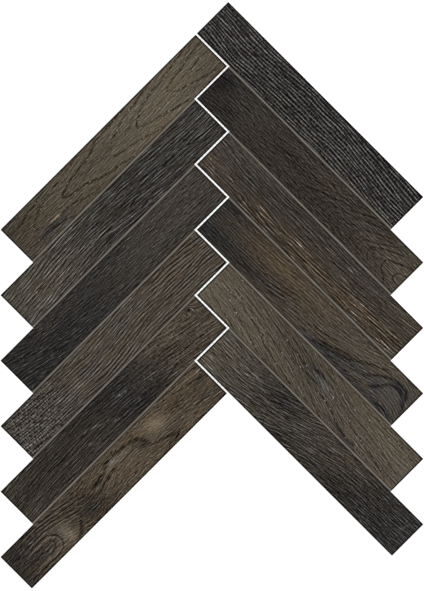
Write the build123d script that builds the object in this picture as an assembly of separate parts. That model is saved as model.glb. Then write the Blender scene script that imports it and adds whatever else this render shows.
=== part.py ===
from build123d import *
import os
from math import sqrt

# A herringbone sheet of wood-look porcelain floor tile: two legs of six narrow
# tiles that meet at right angles, flexible filler in the long joints of each
# leg, and a thin net glued across the whole back. It lies face up on the floor.
# The origin is under the middle of the sheet, +X to the right, +Y towards the
# point of the herringbone, +Z up out of the walking face. Millimetres.

# Driving dimensions
TILE_WIDTH = 48.0
JOINT_WIDTH = 2.0
TILES_PER_LEG = 6
TILE_THICKNESS = 9.5
EDGE_BEVEL = 0.6  # ground on the four top edges after the tile is cut to size
NET_THICKNESS = 0.4
NET_SETBACK = 5.0  # the net stops this far inside the sheet's outer edge

# Keying grooves of the unglazed back, which run the length of every tile
GROOVE_COUNT = 4
GROOVE_PITCH = 12.0
GROOVE_MOUTH = 6.0
GROOVE_DEPTH = 0.5

# Filler in the long joints: level with the foot of the bevel, tooled hollow
FILLER_HOLLOW = 0.3

# Worked out from the driving dimensions
PITCH = TILE_WIDTH + JOINT_WIDTH
TILE_LENGTH = TILES_PER_LEG * TILE_WIDTH + (TILES_PER_LEG - 1) * JOINT_WIDTH
FILLER_LENGTH = TILE_LENGTH - PITCH
FACE_HEIGHT = NET_THICKNESS + TILE_THICKNESS
FILLER_HEIGHT = TILE_THICKNESS - EDGE_BEVEL
SHEET_WIDTH = (2 * TILE_LENGTH + PITCH) / sqrt(2)
SHEET_HEIGHT = (2 * TILES_PER_LEG * PITCH + TILE_LENGTH - JOINT_WIDTH) / sqrt(2)

# Headings of the two legs, in degrees from +X, pointing away from the zigzag
RIGHT_HEADING = -45.0
LEFT_HEADING = -135.0


def sheet_point(along_right, along_left):
    """A point of the sheet, from its distances along the two legs' headings.

    Both distances start at the sheet's top corner.
    """
    x = (along_right - along_left) / sqrt(2) + PITCH / (2 * sqrt(2))
    y = -(along_right + along_left) / sqrt(2) + SHEET_HEIGHT / 2
    return x, y


def right_tile_place(row, height=0.0):
    """Middle of tile `row` of the right leg; rows count from 0 at the top."""
    x, y = sheet_point(row * PITCH + TILE_LENGTH / 2, row * PITCH + TILE_WIDTH / 2)
    return Location((x, y, height), (0, 0, RIGHT_HEADING))


def left_tile_place(row, height=0.0):
    """Middle of tile `row` of the left leg, which butts against the right tile."""
    x, y = sheet_point(row * PITCH + TILE_WIDTH / 2, (row + 1) * PITCH + TILE_LENGTH / 2)
    return Location((x, y, height), (0, 0, LEFT_HEADING))


def right_joint_place(row, height=0.0):
    """Middle of the long joint under tile `row` of the right leg."""
    middle_along = (row + 1) * PITCH + FILLER_LENGTH / 2
    x, y = sheet_point(middle_along, (row + 1) * PITCH - JOINT_WIDTH / 2)
    return Location((x, y, height), (0, 0, RIGHT_HEADING))


def left_joint_place(row, height=0.0):
    """Middle of the long joint under tile `row` of the left leg."""
    middle_along = (row + 2) * PITCH + FILLER_LENGTH / 2
    x, y = sheet_point((row + 1) * PITCH - JOINT_WIDTH / 2, middle_along)
    return Location((x, y, height), (0, 0, LEFT_HEADING))


def keying_groove():
    """One back groove, a shallow trapezoid channel with flanks at 45 degrees."""
    half_mouth = GROOVE_MOUTH / 2
    half_floor = half_mouth - GROOVE_DEPTH
    section = Plane.YZ * make_face(
        Polyline(
            (-half_mouth, 0),
            (half_mouth, 0),
            (half_floor, GROOVE_DEPTH),
            (-half_floor, GROOVE_DEPTH),
            close=True,
        )
    )
    return extrude(section, amount=TILE_LENGTH / 2, both=True)


def tile():
    """One porcelain tile, length along X, back at Z 0, with bevels and grooves."""
    base = (Align.CENTER, Align.CENTER, Align.MIN)
    body = Box(TILE_LENGTH, TILE_WIDTH, TILE_THICKNESS, align=base)
    top_edges = body.faces().sort_by(Axis.Z)[-1].edges()
    body = chamfer(top_edges, EDGE_BEVEL)
    for place in GridLocations(0, GROOVE_PITCH, 1, GROOVE_COUNT):
        body -= place * keying_groove()
    return body


def joint_filler():
    """One strip of joint filler, length along X, foot at Z 0, with a hollow top."""
    half_width = JOINT_WIDTH / 2
    foot_and_sides = Polyline(
        (-half_width, FILLER_HEIGHT),
        (-half_width, 0),
        (half_width, 0),
        (half_width, FILLER_HEIGHT),
    )
    hollow = ThreePointArc(
        (half_width, FILLER_HEIGHT),
        (0, FILLER_HEIGHT - FILLER_HOLLOW),
        (-half_width, FILLER_HEIGHT),
    )
    section = Plane.YZ * make_face(foot_and_sides + hollow)
    return extrude(section, amount=FILLER_LENGTH / 2, both=True)


def backing_net():
    """The net as one thin sheet, cut to the sheet's stepped outline and set back."""
    cell = Rectangle(TILE_LENGTH + JOINT_WIDTH, TILE_WIDTH + JOINT_WIDTH)
    outline = Sketch()
    for row in range(TILES_PER_LEG):
        outline += right_tile_place(row) * cell
        outline += left_tile_place(row) * cell
    setback = NET_SETBACK + JOINT_WIDTH / 2
    trimmed = offset(outline, amount=-setback, kind=Kind.INTERSECTION)
    return extrude(trimmed, amount=NET_THICKNESS)


def write(node, shape):
    """One STEP file for one node."""
    shape.label = node
    export_step(shape, f"parts/{node}.step")


os.makedirs("parts", exist_ok=True)

blank_tile = tile()
blank_filler = joint_filler()
pieces = {"backing_net": backing_net()}
for row in range(TILES_PER_LEG):
    pieces[f"tile_right_{row + 1}"] = right_tile_place(row, NET_THICKNESS) * blank_tile
    pieces[f"tile_left_{row + 1}"] = left_tile_place(row, NET_THICKNESS) * blank_tile
for row in range(TILES_PER_LEG - 1):
    pieces[f"joint_right_{row + 1}"] = right_joint_place(row, NET_THICKNESS) * blank_filler
    pieces[f"joint_left_{row + 1}"] = left_joint_place(row, NET_THICKNESS) * blank_filler

for node, shape in pieces.items():
    write(node, shape)

print(f"tile {TILE_LENGTH:g} x {TILE_WIDTH:g} x {TILE_THICKNESS:g} mm, {len(pieces)} nodes")
print(f"sheet {SHEET_WIDTH:.1f} x {SHEET_HEIGHT:.1f} x {FACE_HEIGHT:g} mm")
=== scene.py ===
import math
from dataclasses import dataclass, field

import bpy
import numpy as np
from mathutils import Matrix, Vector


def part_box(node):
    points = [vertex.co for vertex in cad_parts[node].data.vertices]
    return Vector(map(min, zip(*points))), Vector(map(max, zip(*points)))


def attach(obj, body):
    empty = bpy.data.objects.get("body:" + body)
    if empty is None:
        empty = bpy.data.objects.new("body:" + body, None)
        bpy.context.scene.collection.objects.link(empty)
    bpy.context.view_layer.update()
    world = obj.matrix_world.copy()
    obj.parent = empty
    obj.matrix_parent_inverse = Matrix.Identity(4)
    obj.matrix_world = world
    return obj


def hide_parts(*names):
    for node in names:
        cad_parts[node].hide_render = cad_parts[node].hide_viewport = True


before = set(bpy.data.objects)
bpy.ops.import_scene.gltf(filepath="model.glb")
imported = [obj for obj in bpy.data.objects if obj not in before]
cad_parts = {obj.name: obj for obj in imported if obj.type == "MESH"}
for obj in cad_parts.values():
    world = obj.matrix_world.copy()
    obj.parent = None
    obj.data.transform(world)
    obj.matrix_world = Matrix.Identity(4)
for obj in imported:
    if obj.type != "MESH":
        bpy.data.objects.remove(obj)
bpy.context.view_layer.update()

# The looks of a herringbone sheet of wood-look porcelain tile: twelve printed and
# brushed tiles, the filler in their long joints and the glass net on the back.
# Sizes are in millimetres up to the point where a mesh is made, which is in metres.
MM = 0.001

# Sizes of the frame's pieces
TILE_LENGTH = 298.0
TILE_WIDTH = 48.0
TILE_THICKNESS = 9.5
JOINT_WIDTH = 2.0
TILES_PER_LEG = 6
EDGE_BEVEL = 0.6
NET_THICKNESS = 0.4
NET_SETBACK = 5.0
GROOVE_COUNT = 4
GROOVE_PITCH = 12.0
GROOVE_MOUTH = 6.0
GROOVE_DEPTH = 0.5
PITCH = TILE_WIDTH + JOINT_WIDTH
FILLER_LENGTH = TILE_LENGTH - PITCH
FACE_HEIGHT = NET_THICKNESS + TILE_THICKNESS
SHEET_HEIGHT = (2 * TILES_PER_LEG * PITCH + TILE_LENGTH - JOINT_WIDTH) / math.sqrt(2)

# Headings of the two legs, in degrees from +X, away from the zigzag
HEADINGS = {"right": -45.0, "left": -135.0}


# Numbers for patterns

def curve(stops, x):
    """A smooth curve through given stops, which are pairs of place and value."""
    at = np.array([stop[0] for stop in stops], float)
    value = np.array([stop[1] for stop in stops], float)
    if len(stops) == 1:
        return np.full_like(x, value[0], dtype=float)
    slope = np.gradient(value, at)
    x = np.clip(x, at[0], at[-1])
    left = np.clip(np.searchsorted(at, x, side="right") - 1, 0, len(at) - 2)
    span = at[left + 1] - at[left]
    t = (x - at[left]) / span
    rise = value[left + 1] - value[left]
    bend = (1 - t) * (slope[left] * span - rise) - t * (slope[left + 1] * span - rise)
    return value[left] + t * rise + t * (1 - t) * bend


def smooth_noise(x, y, seed):
    """Value noise from -1 to 1, with one random value at each whole x and y."""
    size = 64
    lattice = np.random.default_rng(seed).uniform(-1, 1, (size, size))
    x0 = np.floor(x).astype(int)
    y0 = np.floor(y).astype(int)
    fx = x - x0
    fy = y - y0
    fx = fx * fx * (3 - 2 * fx)
    fy = fy * fy * (3 - 2 * fy)
    low = lattice[x0 % size, y0 % size] * (1 - fx) + lattice[(x0 + 1) % size, y0 % size] * fx
    top = lattice[x0 % size, (y0 + 1) % size] * (1 - fx) + lattice[(x0 + 1) % size, (y0 + 1) % size] * fx
    return low * (1 - fy) + top * fy


def smooth_step(low, high, x):
    """0 below low, 1 above high, and an even rise between."""
    t = np.clip((x - low) / (high - low), 0, 1)
    return t * t * (3 - 2 * t)


# What is printed on each tile. Along is millimetres from the tile's inner end, by
# the zigzag, and across is millimetres from its middle line. Lightness is a grey
# level of 0 to 255 as displayed, and warmth goes from 0, grey, to 1, brown.

@dataclass
class Patch:
    """A soft oval of another tone; calm is the share of the fine marks that it hides."""
    along: float
    across: float
    reach_along: float
    reach_across: float
    lightness: float
    warmth: float = 0.0
    tilt: float = 0.0
    calm: float = 0.0


@dataclass
class Knot:
    """A place that the growth lines close round or flow past."""
    along: float
    across: float
    reach_inward: float
    reach_outward: float
    reach_across: float
    lift: float


@dataclass
class Stroke:
    """A line of the figure through given places, in levels darker than the rest."""
    darkness: float
    width: float
    points: list


def drawn(darkness, width, *paths):
    """Several drawn lines of one darkness and width."""
    return [Stroke(darkness, width, path) for path in paths]


@dataclass
class Plank:
    """The figure of one tile.

    Pairs are a place along the tile and the value there. Growth lines lie along the
    sway, or as rings round a heart whose cut tapers. Strengths are in grey levels.
    """
    slot: str
    lightness: list
    warmth: list
    sway: list
    ring_width: float
    line_depth: list
    line_width: float = 1.1
    heart: list = None
    heart_depth: float = 6.0
    taper: list = None
    line_flecks: float = 0.0
    fibre: float = 1.0
    shortness: float = 1.0
    brush: float = 12.0
    streaks: list = field(default_factory=lambda: [(0, 0)])
    streaks_across: list = field(default_factory=lambda: [(0, 1)])
    ticks: list = field(default_factory=lambda: [(0, 0)])
    bands: float = 6.0
    knots: list = field(default_factory=list)
    patches: list = field(default_factory=list)
    strokes: list = field(default_factory=list)


PLANKS = {}

PLANKS["tile_right_1"] = Plank(
    slot="porcelain_charcoal",
    lightness=[(0, 56), (150, 52), (298, 52)],
    warmth=[(0, 0.15), (200, 0.15), (298, 0.2)],
    brush=86,
    sway=[(0, 0), (60, -2), (150, 0), (200, -1), (298, -8)],
    ring_width=3.3,
    line_depth=[(0, 0), (298, 0)],
    fibre=0.45,
    ticks=[(0, 34), (298, 34)],
    patches=[Patch(250, -21, 45, 4, 10, 0.7)],
)

PLANKS["tile_right_2"] = Plank(
    slot="porcelain_umber",
    lightness=[(0, 40), (30, 46), (100, 48), (200, 55), (260, 60), (298, 66)],
    warmth=[(0, 0.45), (100, 0.75), (298, 0.85)],
    brush=-12,
    line_width=1.0,
    strokes=[
        Stroke(18, 0.94, [
            (145, -8), (153, -6), (160, -3), (166, 0), (172, 2), (178, 4), (184, 6), (190, 8.5),
            (198, 10.5), (206, 11.5), (213, 13), (218, 16), (222, 18.5), (230, 22.5),
        ]),
        Stroke(16, 0.88, [
            (147, 3), (154, 4.5), (160, 6.5), (170, 9), (178, 9.7), (185, 11.5), (192, 13.3), (199, 14),
            (205, 17), (215, 21.5),
        ]),
        *drawn(
            11, 0.94,
            [(178, -6.5), (188, -1), (196, 1.5), (203, 4.5), (212, 7), (222, 11.5), (230, 14.5), (240, 18),
             (250, 23)],
            [(224, -4), (222, -9), (223, -15), (226, -21)],
        ),
        Stroke(13, 0.94, [
            (212, -2.5), (218, 0), (223, 2), (228, 5), (233, 7), (240, 10), (246, 13.5), (256, 18),
        ]),
        Stroke(15, 0.94, [
            (238, -20), (235, -14), (234, -8), (237, -2.5), (243, 0.5), (249, 3), (254, 7), (262, 12.5),
            (270, 18),
        ]),
        Stroke(15, 1.05, [
            (254, -19), (249, -13), (246.5, -8), (247, -3.5), (252, 0.5), (259, 5), (270, 10), (282, 16),
        ]),
        Stroke(21, 1.05, [
            (298, 11), (290, 8), (284, 5.5), (277, 2.5), (271, 0.5), (267.5, -3), (267.8, -8), (270, -13),
            (275, -15.5), (279, -18), (283, -22),
        ]),
        Stroke(18, 1.05, [
            (298, 1), (292, -1), (288, -3), (285.5, -7), (286, -11), (290, -14), (298, -15.5),
        ]),
        *drawn(
            11, 0.82,
            [(88, 8), (100, 10.5), (112, 12.8), (124, 16.5), (134, 19.3), (150, 22.5)],
            [(96, -3), (108, -0.5), (122, 1.5), (134, 3.5), (148, 5.5)],
            [(124, -2.5), (138, -1.5), (150, 1)],
        ),
        Stroke(10, 0.82, [(104, 3), (118, 6), (130, 8.3), (144, 11), (158, 13), (176, 14), (190, 17.5)]),
        Stroke(11, 1.17, [(130, -12.5), (140, -12.8)]),
        *drawn(
            -9, 0.6,
            [(92, 10.5), (104, 13), (116, 15.5), (128, 18.5)],
            [(100, -1.5), (116, 1.5), (130, 3.8), (146, 4.6)],
        ),
        Stroke(-10, 0.6, [(150, -4), (158, -1.3), (166, 1.8), (176, 5.3), (186, 8.2)]),
    ],
    sway=[(0, 0), (298, 0)],
    ring_width=4.2,
    line_depth=[(0, 0), (80, 4), (140, 12), (200, 12), (250, 8), (298, 4)],
    heart=[(0, -22), (120, -18), (228, -6), (298, -3)],
    heart_depth=9.0,
    taper=[(0, 0), (100, 10), (140, 26), (195, 52), (228, 66), (298, 94)],
    fibre=0.5,
    shortness=1.3,
    patches=[
        Patch(130, -15, 85, 7, -5, -0.1),
        Patch(150, 15, 60, 7, 5, 0.05),
        Patch(9, 8, 9, 10, -12, -0.8),
        Patch(33, -11, 9, 7, -12, -0.8),
        Patch(285, 6, 25, 14, 6, 0.2),
        Patch(240, -13, 12, 8, 5, 0.2),
    ],
)

PLANKS["tile_right_3"] = Plank(
    slot="porcelain_walnut",
    lightness=[(0, 62), (100, 58), (200, 58), (298, 60)],
    warmth=[(0, 0.6), (200, 0.68), (298, 0.76)],
    brush=-16,
    fibre=0.55,
    shortness=0.8,
    streaks_across=[(-24, 1.0), (-4, 0.9), (4, 0.3), (24, 0.15)],
    strokes=[
        *drawn(
            -60, 0.52,
            [(136, -7), (150, -6.8), (160, -7.2)],
            [(78, -8), (90, -8.3), (102, -8.5)],
            [(82, -13), (95, -12.5), (105, -12)],
            [(82, -16), (92, -17), (101, -16.5)],
            [(128, -13.3), (150, -14), (165, -14), (180, -13.3), (196, -12.4)],
            [(112, -7.6), (128, -7.2), (146, -6.9)],
            [(131, -18.5), (138, -19.5), (146, -19)],
            [(137, -21.8), (147, -22)],
            [(228, -9), (238, -8), (250, -7.5), (262, -6.8)],
            [(230, -5.5), (245, -4.3), (256, -4), (268, -3.8)],
            [(232, -10), (248, -9.8), (262, -9), (275, -8), (286, -7)],
            [(222, -12), (232, -10.5)],
            [(268, -6.3), (280, -5), (298, -3.5)],
            [(228, -18.5), (242, -17.5), (255, -17)],
            [(235, -22), (245, -21), (256, -19.5), (262, -18.5)],
            [(271, -17.5), (285, -18), (293, -17.5)],
            [(282, -21.8), (290, -22)],
        ),
        *drawn(
            -50, 0.55,
            [(62, -11.5), (65, -14), (67, -17)],
            [(63, -17), (70, -18), (73, -19)],
            [(3, -9), (10, -10)],
            [(12, -13), (18, -14.5)],
            [(5, -16.5), (20, -17), (24, -19)],
            [(14, -19), (22, -20)],
            [(30, -8.7), (42, -9.5)],
            [(60, -21.8), (80, -21.5), (90, -22)],
            [(155, -17.3), (165, -17.8), (168, -19)],
            [(176, -9), (186, -9)],
            [(195, -14), (207, -13.2)],
            [(211, -16.5), (222, -16.5)],
            [(218, -6.5), (228, -6.8)],
            [(268, -20), (276, -20)],
            [(192, 12), (205, 12.5)],
        ),
        *drawn(
            -34, 0.52,
            [(160, 11), (175, 11.5), (190, 11)],
            [(188, 1), (200, 0.8), (208, 0.5)],
            [(80, 7), (96, 7.5)],
            [(20, 11), (34, 9.5)],
            [(200, -4.5), (215, -3)],
            [(270, 13), (284, 15), (298, 18)],
            [(150, -11), (168, -10.6), (190, -10.4)],
            [(205, -8), (215, -7.6), (226, -7)],
            [(200, -19.6), (214, -20), (228, -19.8)],
            [(240, -14.8), (252, -14.6), (264, -14)],
            [(262, -12), (276, -11.6), (290, -10.6)],
            [(104, -13.6), (120, -13), (128, -12.6)],
            [(40, -13), (56, -13.2)],
        ),
        *drawn(
            26, 0.65,
            [(50, 5.5), (60, 5), (72, 4), (85, 4.3), (100, 4.8)],
            [(172, 4.5), (190, 6), (210, 7), (222, 8), (235, 9.5), (250, 10.5)],
            [(195, 2), (215, 1), (228, 2), (240, 4), (255, 6), (268, 7.5), (280, 8.5)],
            [(228, -6.5), (245, -5.8), (262, -5.4), (280, -6.2)],
            [(242, 14.5), (253, 14)],
            [(145, -15.8), (160, -15.2), (190, -14.7), (205, -14)],
            [(200, -22), (215, -21.8), (225, -22.3)],
            [(120, -19.5), (128, -19.5)],
            [(28, -11), (45, -11.5)],
            [(40, -6), (55, -6.5)],
            [(105, -9.5), (125, -10)],
            [(10, 13.5), (24, 12)],
            [(150, -15.4), (168, -15.4), (185, -14.8), (204, -13.6)],
            [(196, -10.2), (206, -10)],
            [(262, -7.8), (275, -6.8), (290, -5.8), (298, -5)],
            [(240, -20.8), (252, -19.8), (264, -18.2)],
            [(276, -10.8), (288, -9.8), (298, -9)],
            [(33, -7), (45, -7.2)],
            [(80, -14.8), (96, -16), (110, -17.5)],
            [(82, -10.2), (98, -10.4)],
            [(130, -8.6), (150, -8.2), (168, -8.8)],
            [(228, -12), (245, -11.4), (260, -10.6)],
            [(264, -15.4), (278, -15.8), (292, -15.2)],
            [(204, -17.6), (218, -18.4)],
            [(60, -15.5), (70, -16)],
            [(40, 1), (60, 0.5)],
            [(96, 18), (104, 18.5)],
        ),
    ],
    sway=[(0, 0), (70, -2.5), (130, -3), (220, -2), (298, 5)],
    ring_width=3.6,
    line_depth=[(0, 8), (298, 12)],
    streaks=[(0, 12), (90, 20), (298, 24)],
    patches=[
        Patch(240, 15, 40, 6, 5, -0.1),
        Patch(210, -15, 18, 6, 5, 0.1),
        Patch(92, 14, 34, 8, -5, -0.1),
        Patch(160, -14, 150, 9, -1, 0.6),
        Patch(140, 14, 150, 10, 1, -0.1),
    ],
)

PLANKS["tile_right_4"] = Plank(
    slot="porcelain_walnut",
    lightness=[(0, 46), (50, 53), (100, 65), (180, 67), (240, 66), (275, 62), (298, 57)],
    warmth=[(0, 0.5), (50, 0.75), (120, 0.88), (220, 0.78), (298, 0.72)],
    fibre=0.42,
    shortness=1.4,
    brush=-22,
    line_width=0.9,
    strokes=[
        Stroke(15, 1.92, [
            (178, -14.5), (186, -12.5), (194, -10), (202, -7), (210, -5.5), (218, -3), (224, -1),
            (230, 2.5), (236, 6), (242, 9), (250, 12.5), (258, 15),
        ]),
        Stroke(13, 1.76, [
            (174, -18.5), (184, -16.5), (192, -14.5), (200, -12), (208, -10), (216, -7.5), (222, -4.5),
        ]),
        Stroke(16, 1.92, [
            (236, -8), (243, -3), (248, 1), (253, 5), (258, 8.5), (264, 11), (270, 12.5), (277, 13.2),
            (283, 12), (287, 8.5), (289.3, 4), (291, 0), (293, -4), (298, -8),
        ]),
        Stroke(14, 1.92, [
            (249, -12), (254, -9), (258, -5), (261.5, 0), (265, 4.5), (270, 7), (277, 7.3), (283, 5.5),
            (287, 1),
        ]),
        Stroke(10, 1.6, [(192, -20), (212, -18.8), (232, -18), (244, -14)]),
        Stroke(12, 1.6, [(266, -19.8), (276, -18.8), (285, -17.5)]),
        *drawn(
            18, 0.7,
            [(82, -6), (92, -4.2), (100, -2.8), (108, -1.5), (116, -0.3), (126, 1.5)],
            [(98, -16.3), (108, -14.8), (116, -13), (124, -10.8)],
        ),
        Stroke(22, 0.7, [(88, -9.5), (98, -8), (106, -6.5), (114, -5), (122, -3.5), (130, -1.5)]),
        Stroke(20, 0.7, [(94, -12.8), (104, -11), (112, -9.5), (120, -7.5), (126, -6)]),
        *drawn(
            -14, 0.6,
            [(92, -10.8), (102, -9.2), (112, -7.3), (124, -4.8)],
            [(96, -14.5), (106, -12.8), (116, -11.2), (124, -8.8)],
        ),
        Stroke(16, 0.6, [(62, 10.5), (78, 12), (94, 14)]),
        *drawn(
            14, 0.6,
            [(98, 17.8), (112, 18.5), (124, 20)],
            [(70, -1.5), (84, -0.2), (98, 2.5), (112, 4)],
        ),
        Stroke(12, 0.96, [(160, -8.5), (172, -7), (184, -4), (194, -1)]),
    ],
    sway=[
        (0, 0), (60, -1), (100, 2), (130, 5), (160, 6), (190, 9), (220, 14), (245, 19), (262, 22),
        (275, 22), (285, 20), (298, 16),
    ],
    ring_width=3.4,
    line_depth=[(0, 8), (80, 12), (120, 18), (150, 12), (200, 12), (240, 6), (298, 4)],
    patches=[
        Patch(170, 15, 60, 6, 5, 0.0),
        Patch(72, -14, 18, 6, -4, 0.0),
        Patch(15, -14, 40, 8, -10, -0.6),
        Patch(14, 18, 18, 5, -10, -0.5),
        Patch(95, -13, 45, 5, -12, -0.5, 6),
        Patch(205, -13, 45, 5, -14, -0.8, 14),
        Patch(225, -21, 70, 3, -12, -0.8),
        Patch(90, 12, 38, 10, 8, 0.3),
        Patch(256, -7, 6, 5, -12, -0.9, 50),
        Patch(276, 9, 12, 3.6, -20, -1.1),
        Patch(288, 1, 3, 6, -12, -0.9, 20),
        Patch(40, 12, 35, 9, 6, 0.2),
        Patch(276, -20, 14, 2.5, -12, -1.2),
        Patch(274, -6, 13, 9, 4, -0.5, 0, 0.7),
        Patch(292, 12, 8, 12, 5, -0.1, 0, 0.7),
    ],
)

PLANKS["tile_right_5"] = Plank(
    slot="porcelain_taupe",
    lightness=[(0, 83), (60, 78), (150, 70), (220, 75), (298, 80)],
    warmth=[(0, 0.8), (298, 0.75)],
    fibre=0.38,
    shortness=1.2,
    brush=-12,
    line_width=0.9,
    strokes=[
        Stroke(19, 0.95, [
            (3, -8.5), (8, -10), (15, -12.5), (22, -13.7), (30, -16), (44, -18), (53, -21.5),
        ]),
        Stroke(17, 0.95, [
            (35, -5.5), (44, -7), (52, -10), (60, -12), (68, -13.7), (76, -17), (84, -20), (92, -22.5),
        ]),
        *drawn(
            18, 0.95,
            [(14, 5), (30, 3), (46, 1), (62, -1), (70, -2.5), (77, -4.5), (82, -7), (88, -9.5), (96, -11.5),
             (104, -13.2), (114, -15.5), (123, -17.5), (130, -18.5), (142, -21)],
            [(150, -5.5), (162, -6), (174, -6), (186, -7.5), (194, -11), (200, -13.5), (207, -16),
             (215, -18), (225, -19.5), (237, -19.3), (250, -20)],
            [(208, -1), (213, -3.5), (217, -6), (224, -8), (233, -9.7), (240, -11.2), (248, -13),
             (256, -14), (264, -16), (272, -17.2), (284, -16.8), (297, -16.5)],
        ),
        *drawn(
            16, 0.88,
            [(18, 10.5), (28, 9.5), (38, 8.3), (48, 7), (58, 5), (66, 3.7), (80, 2), (94, -0.5),
             (104, -2.5), (122, -5.5)],
            [(38, 13.5), (50, 11.5), (62, 9.8), (74, 8.3)],
            [(110, 2.2), (120, 1), (130, 0.7), (150, 0.5), (164, 0)],
        ),
        Stroke(18, 0.88, [
            (76, 14.2), (92, 12.2), (102, 11), (110, 9.5), (120, 8.5), (132, 6.5), (146, 4.5),
        ]),
        *drawn(
            14, 0.88,
            [(84, 19), (92, 18), (104, 16.5), (122, 14), (132, 12.5), (152, 11.5)],
            [(158, -12.5), (168, -15.5), (174, -18.5), (184, -21)],
        ),
        Stroke(10, 0.82, [(0, 0), (10, -0.7), (22, -1.6), (34, -3)]),
        *drawn(
            12, 0.82,
            [(2, 6.5), (10, 6.3), (18, 4.8)],
            [(262, 11.2), (278, 10.8)],
        ),
        Stroke(12, 0.88, [(14, 21.5), (24, 22.5), (36, 23), (50, 22)]),
        *drawn(
            13, 0.82,
            [(132, -12), (146, -12.5)],
            [(168, 2.8), (182, 2.5), (192, 0)],
            [(184, 12.5), (194, 11), (204, 9.5), (216, 9)],
            [(216, 12), (232, 12.8), (246, 13.4), (262, 14.2)],
            [(264, 17.5), (274, 16.5), (284, 15), (295, 13.8)],
        ),
        *drawn(
            14, 0.82,
            [(198, 3.5), (212, 3), (222, 2.5), (232, 2), (246, 0)],
            [(216, 16.5), (228, 17.6), (236, 19.4), (252, 20.2)],
        ),
        Stroke(17, 0.88, [(258, -2.5), (266, -4), (274, -5.5), (282, -7), (290, -9.5), (297, -10)]),
        Stroke(18, 1.09, [(156, 10.5), (166, 9.5), (176, 8)]),
        Stroke(11, 0.82, [(154, 16.5), (168, 15), (180, 13)]),
    ],
    sway=[(0, 0), (60, -10), (120, -24), (170, -38), (210, -48), (250, -53), (298, -58)],
    ring_width=4.6,
    line_depth=[(0, 12), (298, 12)],
    line_flecks=88,
    patches=[
        Patch(272, -16, 24, 6, -8, 0.0),
        Patch(150, 10, 10, 2.4, -28, -0.8),
        Patch(152, 0, 12, 1.6, -18, -0.6),
        Patch(168, 4, 10, 5, 16, -0.7),
        Patch(215, -19, 26, 3, -18, -0.2, -8),
        Patch(75, -14, 20, 7, 6, 0.0),
    ],
)

PLANKS["tile_right_6"] = Plank(
    slot="porcelain_charcoal",
    lightness=[(0, 73), (50, 64), (100, 50), (160, 53), (220, 44), (298, 45)],
    warmth=[(0, 0.82), (120, 0.8), (180, 0.85), (240, 0.42), (298, 0.1)],
    brush=-22,
    fibre=0.66,
    shortness=1.05,
    strokes=[
        *drawn(
            -30, 0.65,
            [(32, 9), (42, 9.5), (50, 10), (58, 11.5)],
            [(56, -0.5), (64, 3), (72, 4), (78, 4.5)],
            [(2, -9.5), (14, -9.5)],
            [(8, -19), (22, -19)],
            [(60, -8.5), (70, -8), (80, -7)],
            [(55, -13), (65, -12), (75, -10.5), (83, -9.5)],
            [(286, 3), (287, 9), (288, 15)],
        ),
        *drawn(
            -19, 0.6,
            [(26, -7), (36, -7.5)],
            [(13, 4), (20, 5), (30, 6)],
            [(92, 9), (98, 10), (105, 13), (112, 15.5), (118, 17)],
            [(80, -3), (90, -1.5), (100, 0), (110, 1)],
            [(95, -5), (105, -2.5), (113, -1)],
            [(150, 2), (160, 5), (170, 8), (178, 10)],
            [(172, 0), (180, 1.5), (188, 4), (195, 6)],
            [(150, 8.5), (160, 10), (165, 12)],
            [(98, -11.5), (118, -10), (130, -8.5), (145, -8), (158, -7.5)],
            [(80, -15), (95, -14), (110, -12)],
            [(60, -20), (75, -19)],
            [(110, -17), (128, -15.5)],
            [(195, 14), (205, 16), (213, 18)],
            [(248, -10), (258, -9)],
            [(250, 3.5), (262, 4.5)],
            [(150, -14), (162, -12.5), (168, -13.5)],
            [(182, -8.5), (188, -7)],
            [(125, 6), (138, 9), (148, 13)],
            [(284, -8), (288, -2)],
            [(120, -4), (135, -1), (150, 5)],
        ),
        *drawn(
            18, 0.65,
            [(2, 2), (15, 3), (30, 3)],
            [(25, 7), (35, 7), (50, 7), (65, 7)],
            [(2, -4), (12, -4), (20, -5), (30, -3.5), (45, -2.8), (60, -3)],
            [(85, 22), (95, 22.8), (110, 22.5)],
            [(55, -14.8), (65, -13.5), (75, -12)],
            [(78, 8), (90, 8.5)],
            [(90, -4), (104, -1.5), (118, 1)],
            [(100, 6), (112, 8.5), (126, 12)],
            [(150, -2), (165, 2), (178, 6)],
            [(100, -14), (116, -12.5), (132, -11)],
        ),
    ],
    sway=[(0, 0), (50, 1), (80, 8), (165, 34), (200, 40), (298, 44)],
    ring_width=4.0,
    line_depth=[(0, 14), (60, 13), (120, 10), (200, 5), (298, 3)],
    streaks=[(0, 18), (160, 22), (200, 12), (298, 6)],
    ticks=[(0, 4), (200, 6), (298, 12)],
    patches=[
        Patch(280, -15, 26, 7, -8, -0.3),
        Patch(186, 16, 28, 6, 6, 0.1),
        Patch(165, -16, 35, 6, -5, 0.0),
        Patch(95, 10, 22, 8, -14, -0.4),
        Patch(195, -14, 45, 8, -8, -0.2),
        Patch(215, 16, 30, 6, 8, 0.3),
        Patch(285, 5, 8, 0.4, 40, 0.0, 82),
        Patch(49, 4, 1.2, 0.8, 50, 0.2),
        Patch(58, 9, 7, 0.6, 26, 0.0, 3),
    ],
)

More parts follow.
